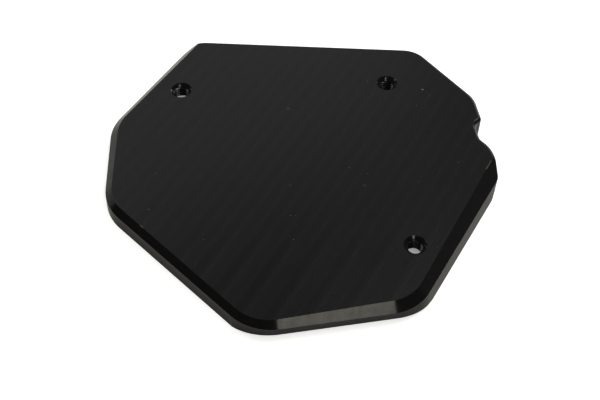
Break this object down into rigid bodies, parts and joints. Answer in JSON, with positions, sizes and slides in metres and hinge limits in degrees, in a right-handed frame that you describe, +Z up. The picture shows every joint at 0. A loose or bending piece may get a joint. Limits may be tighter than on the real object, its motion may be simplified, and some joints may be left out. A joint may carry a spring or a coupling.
{
  "type": "kickstand foot enlarger plate",
  "caption": "Flat many-sided metal plate with a bevelled rim and tapped screw holes, clamped under a motorbike side stand so that it does not sink into soft ground.",
  "frame": {"origin": "middle of the plate's plan box, on its level base", "axes": "+Z up out of the bevelled top face, +X along the two rear holes, +Y from the front edge to the rear edge"},
  "size_m": [0.1176, 0.1138, 0.0091],
  "materials": {
    "black_anodised": "black anodised, fine milled"
  },
  "bodies": {
    "root": {"foot_plate": "black_anodised"}
  },
  "joints": []
}
